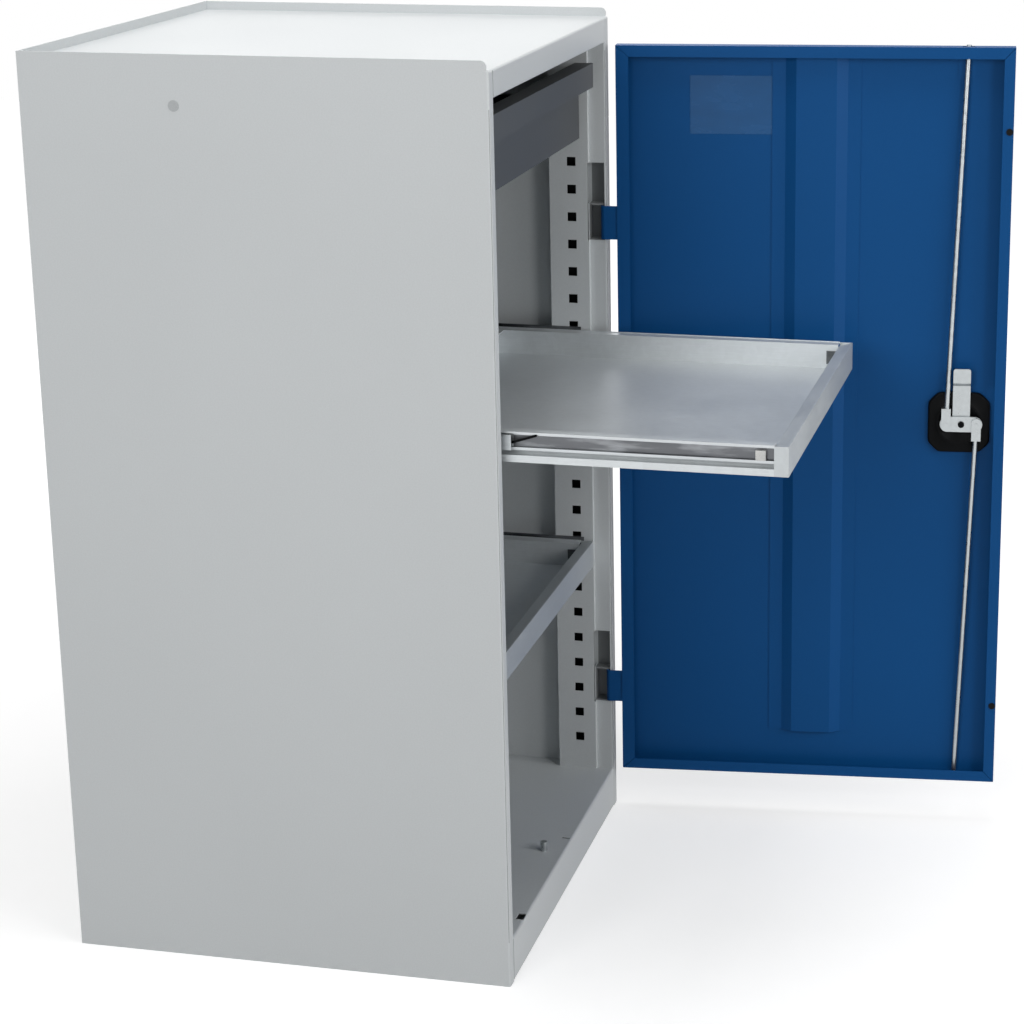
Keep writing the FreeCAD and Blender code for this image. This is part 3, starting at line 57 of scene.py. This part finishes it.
def add(tree, kind, **inputs):
    """A node with fixed values on the inputs named."""
    node = tree.nodes.new(kind)
    for name, value in inputs.items():
        node.inputs[name.replace("_", " ")].default_value = value
    return node


def object_place(tree):
    """The point's place in the frame, in metres."""
    return tree.nodes.new("ShaderNodeTexCoord").outputs["Object"]


def object_axes(tree):
    """The same place as its X, Y and Z outputs."""
    split = tree.nodes.new("ShaderNodeSeparateXYZ")
    tree.links.new(object_place(tree), split.inputs["Vector"])
    return split.outputs


def math_node(tree, operation, first, second):
    node = tree.nodes.new("ShaderNodeMath")
    node.operation = operation
    for socket, value in zip(node.inputs, (first, second)):
        if isinstance(value, bpy.types.NodeSocket):
            tree.links.new(value, socket)
        else:
            socket.default_value = value
    return node.outputs[0]


def ramp(tree, factor, stops):
    """A colour ramp over (position, grey) stops."""
    node = tree.nodes.new("ShaderNodeValToRGB")
    for element, (place, grey) in zip(node.color_ramp.elements, stops):
        element.position = place
        element.color = (grey, grey, grey, 1)
    tree.links.new(factor, node.inputs[0])
    return node.outputs[0]


def noise(tree, scale, detail=2.0, stretch=(1, 1, 1)):
    mapping = tree.nodes.new("ShaderNodeMapping")
    mapping.inputs["Scale"].default_value = stretch
    tree.links.new(object_place(tree), mapping.inputs["Vector"])
    texture = add(tree, "ShaderNodeTexNoise", Scale=scale, Detail=detail)
    tree.links.new(mapping.outputs["Vector"], texture.inputs["Vector"])
    return texture.outputs["Fac"]


def cells(tree, scale):
    """Random grey for each crystal of a spangled surface."""
    texture = add(tree, "ShaderNodeTexVoronoi", Scale=scale)
    tree.links.new(object_place(tree), texture.inputs["Vector"])
    split = tree.nodes.new("ShaderNodeSeparateColor")
    tree.links.new(texture.outputs["Color"], split.inputs["Color"])
    return split.outputs["Red"]


def mixed(tree, factor, first, second):
    """A colour between two, by a factor. Each is a colour's three numbers or another node's output."""
    node = tree.nodes.new("ShaderNodeMix")
    node.data_type = "RGBA"
    tree.links.new(factor, node.inputs["Factor"])
    colour_inputs = [socket for socket in node.inputs if socket.type == "RGBA"]
    for socket, colour in zip(colour_inputs, (first, second)):
        if isinstance(colour, bpy.types.NodeSocket):
            tree.links.new(colour, socket)
        else:
            socket.default_value = (*colour, 1)
    return [socket for socket in node.outputs if socket.type == "RGBA"][0]


def weighted(tree, *shares):
    """The sum of (output, weight) pairs."""
    total = None
    for output, weight in shares:
        part = math_node(tree, "MULTIPLY", output, weight)
        total = math_node(tree, "ADD", total, part) if total else part
    return total


def bump(tree, height, distance, strength, normal=None):
    node = add(tree, "ShaderNodeBump", Strength=strength, Distance=distance)
    tree.links.new(height, node.inputs["Height"])
    if normal:
        tree.links.new(normal, node.inputs["Normal"])
    return node.outputs["Normal"]


def surface(tree, colour, roughness, normal, **fixed):
    shader = add(tree, "ShaderNodeBsdfPrincipled", **fixed)
    tree.links.new(colour, shader.inputs["Base Color"])
    tree.links.new(roughness, shader.inputs["Roughness"])
    tree.links.new(normal, shader.inputs["Normal"])
    output = tree.nodes.new("ShaderNodeOutputMaterial")
    tree.links.new(shader.outputs[0], output.inputs["Surface"])


def shades(colour, spread):
    """The colour a share darker and the same share lighter."""
    return [tuple(channel * factor for channel in colour) for factor in (1 - spread, 1 + spread)]


def between(tree, value, limits):
    """1 where the value lies between two limits, else 0."""
    low, high = limits
    over = math_node(tree, "GREATER_THAN", value, low)
    return math_node(tree, "MULTIPLY", over, math_node(tree, "LESS_THAN", value, high))


# Materials

# Metres from the middle planes, and heights. Inside these the carcass colour is darkened to a painted shade,
# by a smaller share in the jambs.
UPRIGHT_ACROSS, UPRIGHT_ALONG = (0.2290, 0.2495), (0.1826, 0.2235)
JAMB_ACROSS, JAMB_FRONT = (0.2345, 0.2495), (-0.2495, -0.2283)
CAVITY_HEIGHTS = (0.052, 0.952)
JAMB_SHADE_SHARE = 0.62


def cavity_shade_mask(tree):
    """Painted shade: 1 inside the uprights, less inside the jambs, and 0 elsewhere."""
    place = object_axes(tree)
    across = math_node(tree, "ABSOLUTE", place["X"], 0.0)
    along = math_node(tree, "ABSOLUTE", place["Y"], 0.0)
    upright = math_node(tree, "MULTIPLY", between(tree, across, UPRIGHT_ACROSS),
                        between(tree, along, UPRIGHT_ALONG))
    jamb = math_node(tree, "MULTIPLY", between(tree, across, JAMB_ACROSS),
                     between(tree, place["Y"], JAMB_FRONT))
    inside = math_node(tree, "MAXIMUM", upright, math_node(tree, "MULTIPLY", jamb, JAMB_SHADE_SHARE))
    return math_node(tree, "MULTIPLY", inside, between(tree, place["Z"], CAVITY_HEIGHTS))


def powder_coat(name, colour, spread, rough, shine, cavity_shade=None):
    """Baked powder coat: fine orange peel, slow tone drift, faint speckle. Where a shade colour is given, the
    cavities are darkened towards it as painted shade.
    """
    material, tree = new_material(name)
    drift = noise(tree, 3.0, 2.0)
    speckle = noise(tree, 620.0, 3.0)
    tone = weighted(tree, (drift, 0.35), (speckle, 0.65))
    peel = bump(tree, noise(tree, 420.0, 1.5), 0.00011, 0.5)
    fine_peel = bump(tree, noise(tree, 1500.0, 1.0), 0.00003, 0.4, peel)
    coat = mixed(tree, tone, *shades(colour, spread))
    # Painted shade: the coat turns nearly black inside the uprights and jambs.
    if cavity_shade:
        coat = mixed(tree, cavity_shade_mask(tree), coat, mixed(tree, speckle, *shades(cavity_shade, 0.3)))
    surface(tree, coat, ramp(tree, drift, ((0.3, rough - 0.04), (0.7, rough + 0.05))), fine_peel,
            Specular_IOR_Level=shine)
    return material


def galvanised_sheet(name, colour, streaks):
    """Smooth galvanised sheet: fine streaks along the rolling direction over a faint spangle."""
    material, tree = new_material(name)
    streak = noise(tree, 900.0, 3.0, streaks)
    spangle = cells(tree, 170.0)
    haze = noise(tree, 14.0, 3.0)
    tone = weighted(tree, (streak, 0.45), (spangle, 0.12), (haze, 0.43))
    surface(tree, mixed(tree, tone, *shades(colour, 0.17)), ramp(tree, tone, ((0.3, 0.36), (0.7, 0.48))),
            bump(tree, streak, 0.00005, 0.35), Metallic=0.45)
    return material


def bright_zinc(name, colour, rough):
    """Plated zinc: bright and slightly cloudy, with a fine grain."""
    material, tree = new_material(name)
    cloud = noise(tree, 140.0, 4.0)
    grain = noise(tree, 800.0, 2.0)
    surface(tree, mixed(tree, cloud, *shades(colour, 0.14)),
            ramp(tree, cloud, ((0.35, rough - 0.05), (0.65, rough + 0.08))),
            bump(tree, grain, 0.00008, 0.4), Metallic=1.0)
    return material


def drawn_rail(name, web, lips, edge, lips_inside):
    """Rolled slide rail: a dark greased web, darkened further as painted shade, and lips lightened as a
    painted highlight, parted by the distance from the middle, with worn bright patches.
    """
    material, tree = new_material(name)
    across = math_node(tree, "ABSOLUTE", object_axes(tree)["X"], 0.0)
    # The lips get a painted highlight; the web's darkness is partly painted shade, partly grease.
    lip_highlight = math_node(tree, "LESS_THAN" if lips_inside else "GREATER_THAN", across, edge)
    grime = noise(tree, 120.0, 4.0, (1, 0.15, 1))
    drawn = noise(tree, 1200.0, 2.0, (1, 0.03, 1))
    worn = ramp(tree, grime, ((0.50, 0.0), (0.72, 0.35)))
    bright = math_node(tree, "MAXIMUM", math_node(tree, "MULTIPLY", lip_highlight, 0.86), worn)
    web_grease_and_shade = mixed(tree, grime, *shades(web, 0.25))
    lip_highlight_colour = mixed(tree, drawn, *shades(lips, 0.15))
    colour = mixed(tree, bright, web_grease_and_shade, lip_highlight_colour)
    surface(tree, colour, ramp(tree, grime, ((0.3, 0.30), (0.7, 0.48))), bump(tree, drawn, 0.00005, 0.35),
            Metallic=0.9)
    return material


def moulded(name, colour, rough, grain=900.0):
    """Moulded plastic with a fine eroded texture. The nearly black ones reflect less."""
    material, tree = new_material(name)
    speck = noise(tree, grain, 2.0)
    surface(tree, mixed(tree, speck, *shades(colour, 0.15)),
            ramp(tree, noise(tree, 40.0), ((0.3, rough - 0.05), (0.7, rough + 0.07))),
            bump(tree, speck, 0.0001, 0.35), Specular_IOR_Level=0.06 if max(colour) < 0.1 else 0.4)
    return material


def clear_film(name, seen_through):
    """Thin clear film on blue paint: a faint grey veil with a few soft creases."""
    material, tree = new_material(name)
    crease = noise(tree, 25.0, 3.0, (1, 1, 3))
    surface(tree, mixed(tree, crease, *shades(seen_through, 0.10)),
            ramp(tree, crease, ((0.3, 0.20), (0.7, 0.30))),
            bump(tree, crease, 0.0002, 0.4), Specular_IOR_Level=0.25)
    return material


ALONG_Y = (1, 0.04, 1)
ALONG_X = (0.04, 1, 1)
# Metres from the middle plane to the line between the web and the lips, where the painted highlight begins
CABINET_RAIL_LIPS, TRAY_RAIL_LIPS = 0.2225, 0.2146
LOOKS = {
    # The carcass's last colour, nearly black, is the painted shade inside the uprights and jambs.
    "carcass_paint": powder_coat("carcass_paint", (0.600, 0.625, 0.635), 0.09, 0.44, 0.35,
                                 (0.012, 0.012, 0.013)),
    "door_paint": powder_coat("door_paint", (0.0030, 0.068, 0.225), 0.09, 0.46, 0.13),
    "drawer_paint": powder_coat("drawer_paint", (0.082, 0.087, 0.090), 0.10, 0.48, 0.30),
    "galvanised": galvanised_sheet("galvanised", (0.58, 0.61, 0.625), ALONG_Y),
    "zinc": bright_zinc("zinc", (0.42, 0.445, 0.455), 0.32),
    "black_plastic": moulded("black_plastic", (0.003, 0.0034, 0.004), 0.42),
    "dark_grey_plastic": moulded("dark_grey_plastic", (0.11, 0.12, 0.125), 0.45),
    "white_plastic": moulded("white_plastic", (0.72, 0.72, 0.70), 0.42),
    "grey_plastic": moulded("grey_plastic", (0.42, 0.44, 0.45), 0.45),
    "clear_film": clear_film("clear_film", (0.012, 0.085, 0.235)),
    "rubber": moulded("rubber", (0.012, 0.012, 0.012), 0.7, 1400.0),
    "chrome": bright_zinc("chrome", (0.72, 0.72, 0.73), 0.12),
    # Cabinet rails: web dark from painted shade and grease, lips lightened as a painted highlight.
    "dark_steel": drawn_rail("dark_steel", (0.045, 0.048, 0.053), (0.50, 0.53, 0.55),
                             CABINET_RAIL_LIPS, True),
}
FRONT_SHEET = galvanised_sheet("galvanised_front", (0.50, 0.53, 0.545), ALONG_X)
# Tray and middle rails: web darkened partly as painted shade and partly by grease, lips lightened as a
# painted highlight.
TRAY_RAIL = drawn_rail("zinc_rail", (0.13, 0.135, 0.145), (0.58, 0.61, 0.63), TRAY_RAIL_LIPS, False)

for row in frame["record"]["subparts"]:
    look = LOOKS[row["material_slot"]]
    if row["node"].endswith("_shelf_front"):
        look = FRONT_SHEET
    if row["node"].endswith(("_tray_rails", "_middle_rails")):
        look = TRAY_RAIL
    for slot in nodes[row["node"]].material_slots:
        slot.material = look


# Lock plate

# The plate is drawn on the closed door and turned with it round the hinge pin
HINGE_PIN = Vector((0.245, -0.245, 0.0))
DOOR_ANGLE = math.radians(96)
OPENED = (Matrix.Translation(HINGE_PIN) @ Matrix.Rotation(DOOR_ANGLE, 4, "Z")
          @ Matrix.Translation(-HINGE_PIN))
PLATE_CENTRE = Vector((-0.1787, -0.249, 0.510))
PLATE_HALF, PLATE_CUT = 0.0368, 0.0434
PLATE_SHARPNESS = 34
PLATE_STEPS = 96
# Rings of the plate: whether the size is an inset from the outline or else a radius, the size, and the height
PLATE_FACE = [(False, 0.00575, 0.0), (False, 0.00575, 0.0058), (False, 0.00615, 0.0062),
              (False, 0.0228, 0.0062), (False, 0.0234, 0.0067), (False, 0.0244, 0.0070),
              (False, 0.0262, 0.0070), (False, 0.0272, 0.0067), (False, 0.0278, 0.0062),
              (True, 0.0030, 0.0062), (True, 0.0018, 0.0060), (True, 0.0008, 0.0054),
              (True, 0.0002, 0.0045), (True, 0.0, 0.0036), (True, 0.0, 0.0)]


def linked(name, data):
    """A new object in the scene."""
    thing = bpy.data.objects.new(name, data)
    bpy.context.collection.objects.link(thing)
    return thing


def plate_outline(angle):
    """Distance of the plate's edge from its middle: a square with cut, softened corners."""
    total = 0.0
    for step in range(8):
        reach = PLATE_CUT if step % 2 else PLATE_HALF
        total += max(0.0, math.cos(angle - step * math.pi / 4) / reach) ** PLATE_SHARPNESS
    return total ** (-1 / PLATE_SHARPNESS)


def lock_plate():
    """Lock housing: a squarish plate with cut corners, a rounded edge and a faint raised ring."""
    mesh = bmesh.new()
    rings = []
    for inset, size, height in PLATE_FACE:
        ring = []
        for step in range(PLATE_STEPS):
            angle = 2 * math.pi * step / PLATE_STEPS
            radius = plate_outline(angle) - size if inset else size
            offset = Vector((radius * math.cos(angle), height, radius * math.sin(angle)))
            ring.append(mesh.verts.new(OPENED @ (PLATE_CENTRE + offset)))
        rings.append(ring)
    for inner, outer in zip(rings, rings[1:] + rings[:1]):
        for step in range(PLATE_STEPS):
            after = (step + 1) % PLATE_STEPS
            mesh.faces.new((inner[step], inner[after], outer[after], outer[step]))
    bmesh.ops.recalc_face_normals(mesh, faces=mesh.faces)
    data = bpy.data.meshes.new("lock_plate")
    mesh.to_mesh(data)
    mesh.free()
    for polygon in data.polygons:
        polygon.use_smooth = True
    plate = linked("lock_plate", data)
    data.materials.append(LOOKS["black_plastic"])
    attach(plate, "door")
    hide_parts("lock_housing")


lock_plate()


# Stage, light and camera

FLOOR_HALF = 6.0
FLOOR_GREYS = (0.60, 0.60, 0.60), (0.64, 0.64, 0.64)
# The floor's own light by the distance in metres from the middle, so that it turns into the white background
GLOW_REACH = 4.0
GLOW_STOPS = ((0.12, 0.55), (0.6, 0.95))
AMBIENT = 0.09


def seen_directly(tree, strength):
    """The strength for rays from the camera, off gloss or through glass, and none for light."""
    rays = tree.nodes.new("ShaderNodeLightPath")
    seen = math_node(tree, "MAXIMUM", rays.outputs["Is Camera Ray"], rays.outputs["Is Glossy Ray"])
    seen = math_node(tree, "MAXIMUM", seen, rays.outputs["Is Transmission Ray"])
    return math_node(tree, "MULTIPLY", seen, strength)


def stage_floor():
    mesh = bmesh.new()
    corners = [(-1, -1), (1, -1), (1, 1), (-1, 1)]
    mesh.faces.new([mesh.verts.new((x * FLOOR_HALF, y * FLOOR_HALF, 0.0)) for x, y in corners])
    data = bpy.data.meshes.new("floor")
    mesh.to_mesh(data)
    mesh.free()
    floor = linked("floor", data)
    material, tree = new_material("floor_white")
    shade = add(tree, "ShaderNodeBsdfDiffuse")
    tree.links.new(mixed(tree, noise(tree, 30.0, 3.0), *FLOOR_GREYS), shade.inputs["Color"])
    glow = add(tree, "ShaderNodeEmission")
    reach = tree.nodes.new("ShaderNodeVectorMath")
    reach.operation = "LENGTH"
    tree.links.new(object_place(tree), reach.inputs[0])
    far = math_node(tree, "MULTIPLY", reach.outputs["Value"], 1 / GLOW_REACH)
    tree.links.new(seen_directly(tree, ramp(tree, far, GLOW_STOPS)), glow.inputs["Strength"])
    both = tree.nodes.new("ShaderNodeAddShader")
    tree.links.new(shade.outputs[0], both.inputs[0])
    tree.links.new(glow.outputs[0], both.inputs[1])
    output = tree.nodes.new("ShaderNodeOutputMaterial")
    tree.links.new(both.outputs[0], output.inputs["Surface"])
    data.materials.append(material)


def studio_world():
    """A faint even light, and plain white wherever the background itself is seen."""
    world = bpy.data.worlds.new("studio")
    world.use_nodes = True
    tree = world.node_tree
    tree.nodes.clear()
    light = add(tree, "ShaderNodeBackground", Color=(1, 1, 1, 1), Strength=AMBIENT)
    white = add(tree, "ShaderNodeBackground", Color=(1, 1, 1, 1), Strength=1.0)
    pick = tree.nodes.new("ShaderNodeMixShader")
    tree.links.new(seen_directly(tree, 1.0), pick.inputs["Fac"])
    tree.links.new(light.outputs[0], pick.inputs[1])
    tree.links.new(white.outputs[0], pick.inputs[2])
    output = tree.nodes.new("ShaderNodeOutputWorld")
    tree.links.new(pick.outputs[0], output.inputs["Surface"])
    bpy.context.scene.world = world


def softbox(name, place, target, size, power):
    """A rectangular lamp. The place, the target it faces and the size are metres, the power watts."""
    data = bpy.data.lights.new(name, "AREA")
    data.shape = "RECTANGLE"
    data.size, data.size_y = size
    data.energy = power
    lamp = linked(name, data)
    lamp.location = place
    lamp.rotation_euler = (Vector(target) - Vector(place)).to_track_quat("-Z", "Y").to_euler()


stage_floor()
studio_world()
softbox("side", (-2.6, 0.4, 1.5), (0, 0, 0.5), (1.4, 1.4), 29)
softbox("top", (0.0, 0.0, 3.0), (0, 0, 0.9), (2.0, 2.0), 44)
softbox("front", (-0.55, -3.2, 1.4), (0, -0.2, 0.5), (1.3, 1.3), 28)
softbox("front_left", (-1.7, -2.6, 1.4), (0.1, -0.2, 0.5), (0.7, 0.9), 17)
softbox("fill", (2.6, 0.8, 1.5), (0, 0, 0.5), (1.6, 1.6), 8)

# Camera at the photo's viewpoint: yaw, pitch and roll in degrees, then the focal length and centre in pixels
VIEWPOINT = Vector((-2.5836, -0.9346, 1.3034))
YAW, PITCH, ROLL = (math.radians(angle) for angle in (-12.688, 15.387, -0.427))
FOCAL_PIXELS = 2482.0
CENTRE_PIXELS = (650.0, 420.0)
FRAME_PIXELS = 1024.0
SENSOR_WIDTH = 36.0


def photo_camera():
    base = Matrix(((0, -1, 0), (0, 0, -1), (1, 0, 0)))
    turn_yaw = Matrix(((math.cos(YAW), 0, -math.sin(YAW)), (0, 1, 0), (math.sin(YAW), 0, math.cos(YAW))))
    turn_pitch = Matrix(((1, 0, 0), (0, math.cos(PITCH), -math.sin(PITCH)),
                         (0, math.sin(PITCH), math.cos(PITCH))))
    turn_roll = Matrix(((math.cos(ROLL), -math.sin(ROLL), 0), (math.sin(ROLL), math.cos(ROLL), 0), (0, 0, 1)))
    right, down, forward = turn_roll @ turn_pitch @ turn_yaw @ base
    data = bpy.data.cameras.new("photo_camera")
    data.sensor_width = SENSOR_WIDTH
    data.lens = SENSOR_WIDTH * FOCAL_PIXELS / FRAME_PIXELS
    data.shift_x = 0.5 - CENTRE_PIXELS[0] / FRAME_PIXELS
    data.shift_y = CENTRE_PIXELS[1] / FRAME_PIXELS - 0.5
    camera = linked("photo_camera", data)
    turned = Matrix((right, -down, -forward)).transposed().to_4x4()
    camera.matrix_world = Matrix.Translation(VIEWPOINT) @ turned
    bpy.context.scene.camera = camera


photo_camera()
bpy.context.scene.view_settings.view_transform = "Standard"
